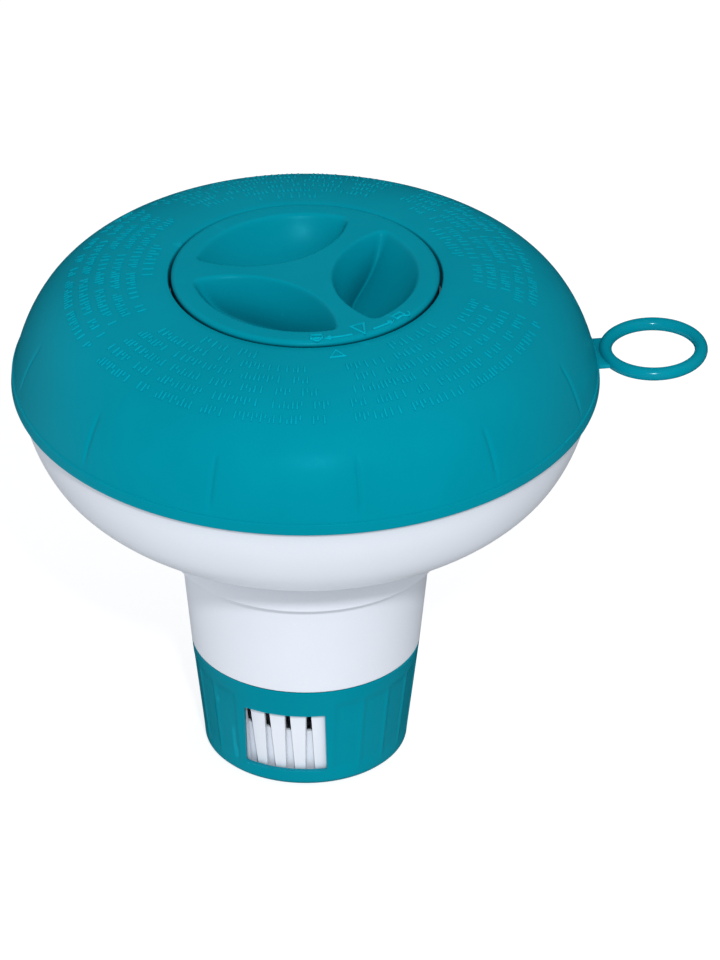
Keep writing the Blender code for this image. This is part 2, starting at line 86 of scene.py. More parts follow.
# ------------------------------------------------------------------ outlines
def rounded(points, closed=False, steps=5):
    """Polyline whose corners (r, z, radius) are rounded off."""
    out = []
    count = len(points)
    for i, point in enumerate(points):
        radius = point[2] if len(point) > 2 else 0.0
        corner = Vector(point[:2])
        is_end = not closed and i in (0, count - 1)
        if radius <= 0 or is_end:
            out.append(tuple(corner))
            continue
        back = Vector(points[i - 1][:2]) - corner
        ahead = Vector(points[(i + 1) % count][:2]) - corner
        back_length, ahead_length = back.length, ahead.length
        back.normalize()
        ahead.normalize()
        angle = math.acos(max(-1.0, min(1.0, back.dot(ahead))))
        if angle > math.pi - 0.02:
            out.append(tuple(corner))
            continue
        cut = min(radius / math.tan(angle / 2), back_length * 0.48, ahead_length * 0.48)
        true_radius = cut * math.tan(angle / 2)
        centre = corner + (back + ahead).normalized() * (true_radius / math.sin(angle / 2))
        start = corner + back * cut - centre
        end = corner + ahead * cut - centre
        sweep = math.pi - angle
        sign = 1.0 if start.x * end.y - start.y * end.x > 0 else -1.0
        for k in range(steps + 1):
            turn = sweep * k / steps * sign
            out.append((centre.x + start.x * math.cos(turn) - start.y * math.sin(turn),
                        centre.y + start.x * math.sin(turn) + start.y * math.cos(turn)))
    return out


def curve(stations, samples, rounds):
    """Centripetal Catmull-Rom curve through stations, its curvature evened out in rounds."""
    def blend(one, two, low, high, at):
        return one * (high - at) / (high - low) + two * (at - low) / (high - low)

    points = [Vector(s) for s in stations]
    points = [2 * points[0] - points[1], *points, 2 * points[-1] - points[-2]]
    out = []
    for i in range(1, len(points) - 2):
        near = points[i - 1:i + 3]
        knots = [0.0]
        for one, two in zip(near, near[1:]):
            knots.append(knots[-1] + (two - one).length ** 0.5)
        for step in range(samples):
            at = knots[1] + (knots[2] - knots[1]) * step / samples
            legs = [blend(near[k], near[k + 1], knots[k], knots[k + 1], at) for k in range(3)]
            pair = [blend(legs[k], legs[k + 1], knots[k], knots[k + 2], at) for k in range(2)]
            out.append(blend(*pair, knots[1], knots[2], at))
    out.append(points[-2])

    line = np.array([tuple(p) for p in out])
    for _ in range(rounds):
        line[1:-1] = 0.25 * line[:-2] + 0.5 * line[1:-1] + 0.25 * line[2:]
    return [Vector(p) for p in line]


def offset(points, distance):
    """Line moved to the right of its heading."""
    out = []
    for i, point in enumerate(points):
        before = points[max(i - 1, 0)]
        after = points[min(i + 1, len(points) - 1)]
        heading = (after - before).normalized()
        out.append(point + Vector((heading.y, -heading.x)) * distance)
    return out


# ------------------------------------------------------------------ meshes
def add_object(name, data):
    ob = bpy.data.objects.new(name, data)
    bpy.context.scene.collection.objects.link(ob)
    return ob


def soften(mesh, crease=CREASE):
    mesh.shade_smooth()
    mesh.set_sharp_from_angle(angle=math.radians(crease))


def add_mesh(name, verts, faces, material, crease=CREASE):
    """Object from verts in metres, its faces turned outwards."""
    mesh = bpy.data.meshes.new(name)
    mesh.from_pydata([tuple(v) for v in verts], [], faces)
    mesh.validate()
    bm = bmesh.new()
    bm.from_mesh(mesh)
    bmesh.ops.recalc_face_normals(bm, faces=bm.faces)
    if bm.calc_volume(signed=True) < 0:
        bmesh.ops.reverse_faces(bm, faces=bm.faces)
    bm.to_mesh(mesh)
    bm.free()
    soften(mesh, crease)
    mesh.materials.append(material)
    return add_object(name, mesh)


def lathe(name, profile, material, segs=segments(480), shape=None, closed=True,
          crease=CREASE, crowd=None):
    """An (r, z) outline turned about Z. shape(theta, r, z, row) may move its points, and
    crowd (count, angle) gathers the columns round count directions."""
    prof = np.array(profile, float)
    count = len(prof)
    columns = np.arange(segs) * math.tau / segs
    if crowd:
        around, phase = crowd
        columns = columns - 0.8 / around * np.sin(around * (columns - phase))
    r = np.repeat(prof[:, :1], segs, 1)
    z = np.repeat(prof[:, 1:], segs, 1)
    theta = np.repeat(columns[None, :], count, 0)
    if shape:
        row = np.repeat(np.arange(count)[:, None], segs, 1)
        r, z = shape(theta, r, z, row)

    verts = []
    index = np.zeros((count, segs), int)
    for i in range(count):
        if prof[i, 0] < 1e-6:                   # a row on the axis is one vertex
            index[i, :] = len(verts)
            verts.append((0.0, 0.0, float(z[i].mean()) * MM))
        else:
            index[i, :] = len(verts) + np.arange(segs)
            verts.extend(zip(r[i] * np.cos(theta[i]) * MM, r[i] * np.sin(theta[i]) * MM, z[i] * MM))

    faces = []
    rows = list(zip(range(count), range(1, count))) + ([(count - 1, 0)] if closed else [])
    for low, high in rows:
        one, two = index[low], index[high]
        for s in range(segs):
            after = (s + 1) % segs
            face = [one[s], one[after], two[after], two[s]]
            if face[0] == face[1]:
                face = [face[0], face[2], face[3]]
            elif face[2] == face[3]:
                face = face[:3]
            faces.append([int(v) for v in face])
    return add_mesh(name, verts, faces, material, crease)


def loft(sections, ring=False):
    """Points and faces of a skin over equal cross-sections, capped or joined into a ring."""
    sides = len(sections[0])
    last = len(sections) - 1
    steps = [(i, i + 1) for i in range(last)] + ([(last, 0)] if ring else [])
    faces = [(one * sides + k, one * sides + (k + 1) % sides,
              two * sides + (k + 1) % sides, two * sides + k)
             for one, two in steps for k in range(sides)]
    if not ring:
        faces.append(tuple(range(sides))[::-1])
        faces.append(tuple(range(last * sides, (last + 1) * sides)))
    return [point for section in sections for point in section], faces


def swept(angles, outline):
    """An (r, z) outline carried round Z through a list of angles."""
    return loft([[polar(angle, r, z) for r, z in outline] for angle in angles])


def bar(points, ring, radius, sides=8):
    """Round bar along a polyline of Vectors, widened at its bends."""
    sections = []
    count = len(points)
    for i, point in enumerate(points):
        before = points[i - 1] if (i > 0 or ring) else point
        after = points[(i + 1) % count] if (i < count - 1 or ring) else point
        heading = (after - before).normalized()
        side = heading.cross(UP).normalized()
        normal = side.cross(heading).normalized()
        leg = point - before
        arriving = leg.normalized() if leg.length > 1e-9 else heading
        stretch = 1.0 / max(0.5, abs(arriving.dot(heading)))
        turns = [math.tau * (k + 0.5) / sides for k in range(sides)]
        sections.append([point + side * math.cos(turn) * radius * stretch
                         + normal * math.sin(turn) * radius for turn in turns])
    return loft(sections, ring)


def add_parts(name, parts, material, crease=CREASE):
    """One object from several (points in mm, faces) parts."""
    verts, faces = [], []
    for points, part_faces in parts:
        base = len(verts)
        verts += [point * MM for point in points]
        faces += [tuple(base + v for v in face) for face in part_faces]
    return add_mesh(name, verts, faces, material, crease)


def cut_away(ob, cutter):
    """Subtract the cutter from the object, bake the result and remove the cutter."""
    mod = ob.modifiers.new("cut", "BOOLEAN")
    mod.operation = "DIFFERENCE"
    mod.solver = "EXACT"
    mod.object = cutter
    deps = bpy.context.evaluated_depsgraph_get()
    fresh = bpy.data.meshes.new_from_object(ob.evaluated_get(deps))
    ob.modifiers.clear()
    ob.data = fresh
    bpy.data.objects.remove(cutter, do_unlink=True)
    soften(fresh)


# ------------------------------------------------------------------ materials
def add_node(tree, kind, inputs=None, **settings):
    """New shader node. Inputs are keyed by name or index and take a value or a socket."""
    node = tree.nodes.new(kind)
    for key, value in settings.items():
        setattr(node, key, value)
    for key, value in (inputs or {}).items():
        if isinstance(value, bpy.types.NodeSocket):
            tree.links.new(value, node.inputs[key])
        else:
            node.inputs[key].default_value = value
    return node


def math_node(tree, operation, one, two):
    return add_node(tree, "ShaderNodeMath", {0: one, 1: two}, operation=operation).outputs[0]


def toned(colour, factor, lighten=0.0):
    return tuple(min(1.0, c * factor + lighten) for c in colour)


def plastic(name, colour, roughness, grain=0.35, wear_and_highlight=0.0, specular=0.5, tint=(1.0, 1.0, 1.0),
            drift=0.035, painted_shade=0.25, painted_shade_reach=0.006, painted_shade_colour=(0.45, 0.47, 0.50),
            painted_shade_span=(0.25, 0.85)):
    """Moulded plastic: fine orange-peel grain, cloudy gloss, soft colour drift, edges paler from
    wear and painted highlight, and painted shade in creases (over a reach in metres and a span of
    occlusion)."""
    mat = bpy.data.materials.new(name)
    mat.use_nodes = True
    tree = mat.node_tree
    bsdf = tree.nodes["Principled BSDF"]
    coord = add_node(tree, "ShaderNodeTexCoord").outputs["Object"]

    def noise(scale, detail=2.0, softness=0.5):
        inputs = {"Vector": coord, "Scale": scale, "Detail": detail, "Roughness": softness}
        return add_node(tree, "ShaderNodeTexNoise", inputs).outputs["Fac"]

    def remap(source, span, to):
        inputs = {"Value": source, "From Min": span[0], "From Max": span[1],
                  "To Min": to[0], "To Max": to[1]}
        return add_node(tree, "ShaderNodeMapRange", inputs).outputs["Result"]

    def mix(factor, one, two, blend_type="MIX"):
        # 0, 6 and 7 are the factor and the two colours; output 2 is the colour
        one, two = ((*c, 1.0) if isinstance(c, tuple) else c for c in (one, two))
        return add_node(tree, "ShaderNodeMix", {0: factor, 6: one, 7: two},
                        data_type="RGBA", blend_type=blend_type).outputs[2]

    def bump(strength, distance, height, **more):
        inputs = {"Strength": strength, "Distance": distance, "Height": height, **more}
        return add_node(tree, "ShaderNodeBump", inputs).outputs["Normal"]

    # broad drift between a darker and a lighter tone, then fine pale specks
    base = mix(remap(noise(scale=22.0, detail=3.0), span=(0.3, 0.7), to=(0.0, 1.0)),
               toned(colour, 1.0 - 2.2 * drift), toned(colour, 1.0 + 1.2 * drift))
    base = mix(remap(noise(scale=1400.0, detail=1.0), span=(0.62, 0.8), to=(0.0, 0.10)),
               base, toned(colour, 1.28, lighten=0.001))
    # edges made paler by Pointiness: partly rubbed wear, partly a painted highlight
    if wear_and_highlight:
        edges = add_node(tree, "ShaderNodeNewGeometry").outputs["Pointiness"]
        scuff = noise(scale=160.0, detail=4.0)
        worn_and_highlit = math_node(tree, "MULTIPLY",
                         remap(edges, span=(0.52, 0.60), to=(0.0, wear_and_highlight)),
                         remap(scuff, span=(0.35, 0.7), to=(0.35, 1.0)))
        base = mix(worn_and_highlit, base, toned(colour, 1.6, lighten=0.002))
    # painted shade: ambient occlusion darkens creases, recesses and gaps between parts
    if painted_shade:
        occlusion = add_node(tree, "ShaderNodeAmbientOcclusion", {"Distance": painted_shade_reach},
                             samples=8).outputs["AO"]
        base = mix(remap(occlusion, span=painted_shade_span, to=(painted_shade, 0.0)), base, painted_shade_colour, "MULTIPLY")

    # gloss: broad clouds and a fine flicker about the roughness
    cloud = noise(scale=55.0, detail=4.0, softness=0.6)
    flicker = noise(scale=700.0)
    gloss = math_node(tree, "ADD",
                      remap(cloud, span=(0.3, 0.7), to=(roughness - 0.05, roughness + 0.06)),
                      remap(flicker, span=(0.3, 0.7), to=(-0.02, 0.02)))

    # relief: orange peel, then a slow swell over it (distances in metres)
    peel = noise(scale=1100.0, softness=0.55)
    swell = noise(scale=95.0, detail=1.0)
    grained = bump(grain, 0.00003, peel)
    normal = bump(0.25, 0.00012, swell, Normal=grained)

    tree.links.new(base, bsdf.inputs["Base Color"])
    tree.links.new(gloss, bsdf.inputs["Roughness"])
    tree.links.new(normal, bsdf.inputs["Normal"])
    bsdf.inputs["IOR"].default_value = 1.49
    bsdf.inputs["Specular IOR Level"].default_value = specular
    bsdf.inputs["Specular Tint"].default_value = (*tint, 1.0)
    mat.diffuse_color = (*colour, 1.0)
    return mat


TEAL = (0.0, 0.241, 0.325)
WHITE = (0.747, 0.795, 0.875)
TINT = (0.05, 0.75, 0.95)       # teal cast of the highlights

teal_dome = plastic("teal_dome", toned(TEAL, 1.03), roughness=0.36, wear_and_highlight=0.35, specular=0.06,
                    tint=TINT)
# strong painted shade that darkens the finger pockets
teal_cap = plastic("teal_cap", toned(TEAL, 1.02), roughness=0.33, wear_and_highlight=0.15, specular=0.085,
                   tint=(0.10, 0.85, 1.0), painted_shade=1.0, painted_shade_reach=0.018,
                   painted_shade_colour=(0.1, 0.12, 0.15), painted_shade_span=(0.22, 0.66))
teal_loop = plastic("teal_loop", TEAL, roughness=0.17, grain=0.1, wear_and_highlight=0.2, specular=0.22,
                    tint=(0.7, 1.0, 1.0))
teal_dial = plastic("teal_dial", TEAL, roughness=0.34, wear_and_highlight=0.5, specular=0.07, tint=TINT,
                    painted_shade=0.0)
# lighter than the dome's teal: a painted highlight on the raised ticks
teal_mark_painted_highlight = plastic("teal_mark_painted_highlight", (0.0, 0.290, 0.388), roughness=0.36, wear_and_highlight=0.3, specular=0.08,
                    tint=TINT, painted_shade=0.0)
# painted shade that darkens the collar under the bowl's overhang
white_bowl = plastic("white_bowl", WHITE, roughness=0.38, wear_and_highlight=0.25, specular=0.13, drift=0.012,
                     painted_shade=1.0, painted_shade_reach=0.016, painted_shade_span=(0.4, 1.0))
white_tube = plastic("white_tube", WHITE, roughness=0.40, wear_and_highlight=0.25, specular=0.13, drift=0.012,
                     painted_shade_reach=0.003)
white_floor = plastic("white_floor", WHITE, roughness=0.45, wear_and_highlight=0.2, specular=0.13,
                      drift=0.015, painted_shade=0.3)
# lighter than the closure's teal: a painted highlight on the raised symbols and pointer
teal_icon_painted_highlight = plastic("teal_icon_painted_highlight", (0.0, 0.335, 0.445), roughness=0.34, wear_and_highlight=0.3, specular=0.08,
                    tint=TINT, painted_shade=0.0)
rubber = plastic("seal_rubber", (0.012, 0.013, 0.015), roughness=0.62, grain=0.8, specular=0.3,
                 drift=0.1, painted_shade=0.0)


# ------------------------------------------------------------------ dome
# (radius, height above the parting plane) up the outside of the dome
DOME_STATIONS = (
    (81.8, 3.7), (80.4, 9.2), (78.1, 15.1), (74.9, 20.5), (70.3, 25.2),
    (63.8, 29.2), (55.2, 32.2), (46.5, 33.9), (40.8, 34.4))
WELL_R = 38.4           # well that takes the closure
LEDGE_R = 36.2          # ledge inside the well
LEDGE_Z = SEAM + 24.0
SLEEVE_R = 38.2         # outside of the sleeve below the ledge
SLEEVE_END = SEAM + 9.0
RIB_COUNT = 12          # stiffening ribs under the shoulder
RIB_PHASE = -19.0       # bearing of the first one
RIB_PITCH = 360.0 / RIB_COUNT
RIB_HALF = 0.8          # half the thickness of a rib

dome_line = curve(DOME_STATIONS, samples=9, rounds=12)
dome_outer = lift(dome_line)
dome_inner = lift([p for p in offset(curve(DOME_STATIONS, samples=3, rounds=3)[::-1], WALL)
                   if p.x > WELL_R + 3.4])
dome_profile = rounded([                        # rim
    (FLOAT_R - 2.4, SEAM), (FLOAT_R, SEAM, 0.45), (FLOAT_R - 0.22, SEAM + 3.35, 0.5),
    (81.84, SEAM + 3.5, 0.12), dome_outer[0]], steps=6)
dome_profile += dome_outer[1:]
dome_profile += rounded([                       # well, ledge and sleeve
    dome_outer[-2], (WELL_R, SEAM + 34.45, 0.6), (WELL_R, LEDGE_Z, 0.5),
    (LEDGE_R, LEDGE_Z, 0.3), (LEDGE_R, SLEEVE_END, 0.4), (SLEEVE_R, SLEEVE_END, 0.4),
    (SLEEVE_R, LEDGE_Z - WALL, 0.5), (WELL_R + WALL, LEDGE_Z - WALL, 0.8),
    (WELL_R + WALL, SEAM + 31.4, 0.4), dome_inner[0]], steps=5)[2:]
dome_profile += dome_inner[1:]
UNEVEN_ROWS = 14 + len(dome_line)               # rows from the rim that are not quite true


def dome_shape(theta, r, z, row):
    """Sink marks over the inner ribs, and the slight unevenness of a large moulding."""
    height = z - SEAM
    outer = row < UNEVEN_ROWS
    from_rib = (np.degrees(theta) + 90.0 - RIB_PHASE + RIB_PITCH / 2) % RIB_PITCH - RIB_PITCH / 2
    arc = np.radians(from_rib) * r
    fade = np.clip((height - 4.2) / 4.5, 0, 1) * np.clip((20.5 - height) / 2.5, 0, 1) * outer
    sink = 0.36 * np.exp(-(arc / 0.65) ** 2) * fade
    ripple = np.sin(3 * theta + 0.8) + 0.7 * np.sin(5 * theta + height * 0.12)
    wave = 0.035 * ripple * np.clip((height - 4) / 6, 0, 1) * outer
    return r - sink + wave * 0.6, z + wave * 0.3


dome = lathe("dome_fine", dome_profile, teal_dome, shape=dome_shape,
             crowd=(RIB_COUNT, front(RIB_PHASE)))
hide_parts("dome_shell")
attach(dome, "float")

# stiffening ribs inside the shoulder
rib_line = lift([p for p in offset(dome_line, -WALL * 0.6) if 4.5 < p.y < 21.5])
(rib_low_r, rib_low_z), (rib_top_r, rib_top_z) = rib_line[0], rib_line[-1]
rib_outline = rib_line + rounded([
    rib_line[-1], (rib_top_r - 3.8, rib_top_z - 1.5, 1.5),
    (rib_low_r - 3.1, rib_low_z, 0.8), rib_line[0]], steps=4)[1:-1]
ribs = add_parts("dome_ribs", [
    loft([[place(front(RIB_PHASE + RIB_PITCH * k), r, across, z) for r, z in rib_outline]
          for across in (-RIB_HALF, RIB_HALF)])
    for k in range(RIB_COUNT)], teal_dome)
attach(ribs, "float")


# ------------------------------------------------------------------ tether loop and tab
LOOP_ANGLE = math.radians(8.0)      # from +X towards +Y
LOOP_CENTRE = 98.5                  # distance from the axis
LOOP_R = 13.5
LOOP_BAR_R = 1.85
LOOP_Z = SEAM + 2.0
TAB_HALF = 7.6                      # half its width
TAB_LOW, TAB_TOP = SEAM + 1.2, SEAM + 2.4
TAB_ROOT_R = FLOAT_R - 1.2          # where the tab ends inside the rim

loop_turns = [math.tau * i / 128 for i in range(128)]
loop_line = [place(LOOP_ANGLE, LOOP_CENTRE + LOOP_R * math.cos(turn),
                   LOOP_R * math.sin(turn), LOOP_Z) for turn in loop_turns]
loop = add_parts("tether_loop", [bar(loop_line, True, LOOP_BAR_R, sides=28)], teal_loop)
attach(loop, "float")


def tab_section(z, inset):
    """Plan of the tab at one height, its two sides drawn in by the inset."""
    plan = []
    for i in range(17):                         # the end that follows the loop
        across = TAB_HALF * (i / 8 - 1)
        plan.append((LOOP_CENTRE - math.sqrt(LOOP_R ** 2 - across * across), across))
    plan += [(TAB_ROOT_R - 0.4, TAB_HALF), (TAB_ROOT_R, 0), (TAB_ROOT_R - 0.4, -TAB_HALF)]
    section = []
    for out, across in plan:
        if abs(across) > TAB_HALF - 0.01:
            across -= math.copysign(inset, across)
        section.append(place(LOOP_ANGLE, out, across, z))
    return section


# (height, inset) levels that soften the tab's edges
TAB_LEVELS = (
    (TAB_LOW, 0.3), (TAB_LOW + 0.12, 0.1), (TAB_LOW + 0.3, 0.0),
    (TAB_TOP - 0.3, 0.0), (TAB_TOP - 0.12, 0.1), (TAB_TOP, 0.3))
tab = add_parts("tether_tab", [loft([tab_section(*level) for level in TAB_LEVELS])], teal_loop)
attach(tab, "float")


# ------------------------------------------------------------------ raised marks on the dome
# (radius, half span in degrees, tick length) of the rows in each block; the first is a heading
TICK_ROWS = (
    (44.2, 11.5, 3.3), (48.8, 30.5, 2.7), (53.2, 32.0, 2.7),
    (57.6, 33.0, 2.7), (62.0, 33.5, 2.7), (66.3, 34.0, 2.7))
HEADING_R = 44.2
BLOCKS, BLOCK_FIRST, BLOCK_PITCH = 5, -27.0, 72.0
TICK_WIDTH, TICK_SINK, TICK_BEVEL = 0.5, 0.35, 0.1
# (place across the cell, share of the length, shift outwards) of the ticks in a cell
TALL_THEN_SHORT = ((-0.45, 1.0, 0.0), (0.45, 0.55, -0.2))
SHORT_THEN_TALL = ((-0.45, 0.55, 0.2), (0.45, 1.0, 0.0))
SINGLE = ((0.0, 1.0, 0.0),)

dome_radii = np.array([p.x for p in dome_line])[::-1]
dome_heights = np.array([p.y for p in dome_line])[::-1]


def dome_height(r):
    return float(np.interp(r, dome_radii, dome_heights))


def tick(r, angle, length, height):
    """Small bar along the slope of the dome, with softened top edges."""
    slope = dome_height(r + 0.5) - dome_height(r - 0.5)
    outward = Vector((math.cos(angle), math.sin(angle), 0.0))
    centre = Vector((outward.x * r, outward.y * r, SEAM + dome_height(r)))
    along = (outward + Vector((0, 0, slope))).normalized()
    side = Vector((-math.sin(angle), math.cos(angle), 0.0))
    raised = along.cross(side)
    levels = ((-TICK_SINK, 0.0), (height - TICK_BEVEL, 0.0),
              (height - TICK_BEVEL * 0.3, TICK_BEVEL * 0.35), (height, TICK_BEVEL))
    return loft([[centre + along * (x * (length / 2 - inset))
                  + side * (y * (TICK_WIDTH / 2 - inset)) + raised * level
                  for x, y in ((-1, -1), (1, -1), (1, 1), (-1, 1))] for level, inset in levels])


def tick_row(rng, bearing, r, half_span, length):
    """One row of ticks, broken into words of two to eight cells."""
    below_heading = r > 45
    span = math.radians(half_span - (rng.random() * 3.0 if below_heading else 0.0))
    cell = 2.45 if below_heading else 3.0
    behind = abs((bearing + 180.0) % 360.0 - 180.0) > 100.0
    if behind:
        r = HEADING_R + (r - HEADING_R) * 0.88  # keeps the rows on the flat of the crown
    height = 0.16 if behind else 0.28
    ticks = []
    at = -span
    word = rng.randint(2, 8)
    while at < span:
        if word == 0:
            at += cell / r
            word = rng.randint(2, 8)
            continue
        kind = rng.random()
        pattern = TALL_THEN_SHORT if kind < 0.35 else SHORT_THEN_TALL if kind < 0.7 else SINGLE
        for across, share, shift in pattern:
            angle = front(bearing) + at + across * cell * 0.55 / r
            ticks.append(tick(r + shift * length, angle, length * share, height))
        at += cell / r
        word -= 1
    return ticks


rng = random.Random(4)
ticks = []
for block in range(BLOCKS):
    for row in TICK_ROWS:
        ticks += tick_row(rng, BLOCK_FIRST + BLOCK_PITCH * block, *row)
marks = add_parts("dome_tick_rows", ticks, teal_mark_painted_highlight, crease=50.0)
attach(marks, "float")

# small outlined triangle by the closure, pointing inwards
POINTER_BEARING, POINTER_HALF = 12.0, 2.6
POINTER_BASE_R, POINTER_TIP_R = 44.0, 40.9
pointer_corners = [
    polar(front(POINTER_BEARING + turn), r, SEAM + dome_height(r))
    for turn, r in ((-POINTER_HALF, POINTER_BASE_R), (POINTER_HALF, POINTER_BASE_R),
                    (0.0, POINTER_TIP_R))]
pointer = add_parts("dome_pointer", [bar(pointer_corners, True, 0.30)], teal_icon_painted_highlight)
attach(pointer, "float")


# ------------------------------------------------------------------ bowl
# (radius, depth below the parting plane) down the outside of the bowl
BOWL_STATIONS = (
    (80.3, 0.4), (79.0, 7.2), (76.9, 13.4), (73.4, 20.1), (68.7, 25.5),
    (62.6, 30.4), (56.0, 34.0), (49.0, 36.9), (43.6, 38.7))
COLLAR_R, COLLAR_BORE = 39.2, 36.3      # collar round the tube
COLLAR_END = SEAM - 52.2
GROOVE_R = 37.9                         # groove in the collar's bore
GROOVE_LOW, GROOVE_TOP = SEAM - 47.9, SEAM - 45.6
SPIGOT_R = FLOAT_R - WALL - 0.9         # lip that stands up inside the dome's rim
SPIGOT_BORE = SPIGOT_R - 1.8

bowl_stations = [(r, -depth) for r, depth in BOWL_STATIONS]
bowl_outer = lift(curve(bowl_stations, samples=9, rounds=12))
bowl_inner = lift([p for p in offset(curve(bowl_stations, samples=3, rounds=3)[::-1], -WALL)
                   if p.x > COLLAR_R + 0.4 and p.y < -1.5])
bowl_profile = bowl_outer[:-1]
bowl_profile += rounded([                       # collar
    bowl_outer[-1], (COLLAR_R + 0.25, SEAM - 40.6, 3.0),
    (COLLAR_R, COLLAR_END, 0.5), (COLLAR_BORE, COLLAR_END, 0.5),
    (COLLAR_BORE, GROOVE_LOW, 0.15), (GROOVE_R, GROOVE_LOW, 0.15),
    (GROOVE_R, GROOVE_TOP, 0.15), (COLLAR_BORE, GROOVE_TOP, 0.15),
    (COLLAR_BORE, SEAM - 34.0, 0.3), (COLLAR_R - 0.6, SEAM - 34.0, 0.3),
    (COLLAR_R - 0.6, SEAM - 36.8, 0.4), bowl_inner[0]], steps=6)
bowl_profile += bowl_inner[1:]
bowl_profile += rounded([                       # spigot
    bowl_inner[-1], (SPIGOT_BORE, SEAM - 0.4), (SPIGOT_BORE, SEAM + 3.6, 0.4),
    (SPIGOT_R, SEAM + 3.6, 0.4), (SPIGOT_R, SEAM - 0.4, 0.1), bowl_outer[0]], steps=4)[1:-1]


def bowl_shape(theta, r, z, row):
    """Slight unevenness of the outer wall."""
    depth = SEAM - z
    outer = row < len(bowl_outer)
    ripple = np.sin(2 * theta + 2.1) + 0.6 * np.sin(5 * theta + depth * 0.1)
    fade = np.clip(depth / 8, 0, 1) * np.clip((38 - depth) / 6, 0, 1) * outer
    return r + 0.03 * ripple * fade, z


bowl = lathe("bowl_fine", bowl_profile, white_bowl, shape=bowl_shape)
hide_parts("float_bowl")
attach(bowl, "float")


# ------------------------------------------------------------------ tablet tube and comb
DIAL_WALL = 1.4
COMB_GAP = 0.35         # between the comb and the dial round it
COMB_WALL = 1.2
TUBE_WALL = 2.2
COMB_END = 3.6          # foot of the comb
SHOULDER = 33.5         # where the tube widens above the dial
SNAP_Z = 29.3           # groove that the dial's bead runs in
SNAP_HALF = 1.2         # half the height of the groove
NECK = COLLAR_END - 0.4
TUBE_TOP = SEAM + 28.4
TUBE_BORE = 33.6
TOP_BORE = 34.2         # wider bore at the top


def stem_r(z):
    return 28.85 + 0.1007 * z


def dial_r(z):
    return 28.2 + 0.1203 * z


def comb_r(z):
    return dial_r(z) - DIAL_WALL - COMB_GAP


stem_profile = rounded([
    (38.0, SEAM + 26.4, 0.3), (38.0, TUBE_TOP, 0.3), (TOP_BORE, TUBE_TOP, 0.6),
    (TOP_BORE, SEAM + 8.0, 0.4), (TUBE_BORE, SEAM + 6.0, 0.4), (TUBE_BORE, SEAM - 40.0, 2.0),
    (stem_r(SHOULDER + 4) - TUBE_WALL, SHOULDER + 4, 1.0), (comb_r(31.5) - TUBE_WALL, 31.5),
    (comb_r(30.9) - TUBE_WALL, 30.9), (comb_r(30.9), 30.9),
    (comb_r(SHOULDER), SHOULDER, 0.15), (stem_r(SHOULDER), SHOULDER, 0.35),
    *[(stem_r(z), z) for z in np.linspace(SHOULDER + 1.0, NECK - 0.8, 30)],
    (stem_r(NECK), NECK, 0.2), (35.9, NECK + 1.2, 0.3), (35.9, SEAM + 26.4, 0.3)],
    closed=True, steps=4)
stem = lathe("tube_fine", stem_profile, white_tube)

groove_r = comb_r(SNAP_Z) - 0.9
comb_profile = rounded([
    (comb_r(31.2) - TUBE_WALL, 31.2), (comb_r(27.8) - TUBE_WALL, 27.8, 0.2),
    (comb_r(26.8) - COMB_WALL, 26.8, 0.3), (comb_r(COMB_END) - COMB_WALL, COMB_END, 0.25),
    (comb_r(COMB_END), COMB_END, 0.25),
    (comb_r(SNAP_Z - SNAP_HALF), SNAP_Z - SNAP_HALF, 0.15),
    (groove_r, SNAP_Z - SNAP_HALF, 0.15), (groove_r, SNAP_Z + SNAP_HALF, 0.15),
    (comb_r(SNAP_Z + SNAP_HALF), SNAP_Z + SNAP_HALF, 0.15),
    (comb_r(31.2) - 0.02, 31.2)], closed=True, steps=4)
comb = lathe("tube_comb", comb_profile, white_tube)

# three groups of four slots, narrowing and leaning as they rise
GROUPS, GROUP_PITCH = 3, 120.0
SLOTS, SLOT_PITCH, SLOT_FIRST = 4, 11.7, -33.8
SLOT_TAPER_Z, SLOT_TOP = 5.0, 27.0
SLOT_MIDDLE = (SLOTS - 1) / 2


def slot_cutter(group, slot):
    # (height, width, sideways lean) levels up the slot
    levels = [(COMB_END - 1.0, 2.73, 0.66)]
    for z in (10.0, 16.0, 22.0, SLOT_TOP - 0.5):
        levels.append((z, 2.6 - 1.25 * (z - SLOT_TAPER_Z) / (SLOT_TOP - SLOT_TAPER_Z),
                       0.6 * (SLOT_TOP - z) / (SLOT_TOP - SLOT_TAPER_Z)))
    levels += [(SLOT_TOP - 0.15, 1.2, 0.0), (SLOT_TOP, 0.8, 0.0)]
    angle = front(SLOT_FIRST + SLOT_PITCH * SLOT_MIDDLE + GROUP_PITCH * group)
    away = math.sin(math.radians(SLOT_PITCH * (slot - SLOT_MIDDLE)))
    corners = ((17.0, -1), (36.0, -1), (36.0, 1), (17.0, 1))
    return loft([[place(angle, r, comb_r(z) * away + side * width / 2 + lean, z)
                  for r, side in corners] for z, width, lean in levels])


slot_cutters = [slot_cutter(group, slot) for group in range(GROUPS) for slot in range(SLOTS)]
cut_away(comb, add_parts("blades", slot_cutters, white_tube))
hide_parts("tablet_tube")
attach(stem, "float")
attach(comb, "float")

# stop rib across the snap groove
stop_in, stop_out = comb_r(SNAP_Z) - 1.5, comb_r(SNAP_Z) - 0.05
stop_low, stop_top = SNAP_Z - 1.3, SNAP_Z + 1.3
stop = add_parts("tube_stop_rib", [swept(
    [math.radians(150.0 + i) for i in range(17)],
    ((stop_in, stop_low), (stop_out, stop_low), (stop_out, stop_top), (stop_in, stop_top)))],
    white_tube)
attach(stop, "float")


# ------------------------------------------------------------------ floor cup inside the comb
def cup_r(z):
    return comb_r(z) - COMB_WALL - 0.35


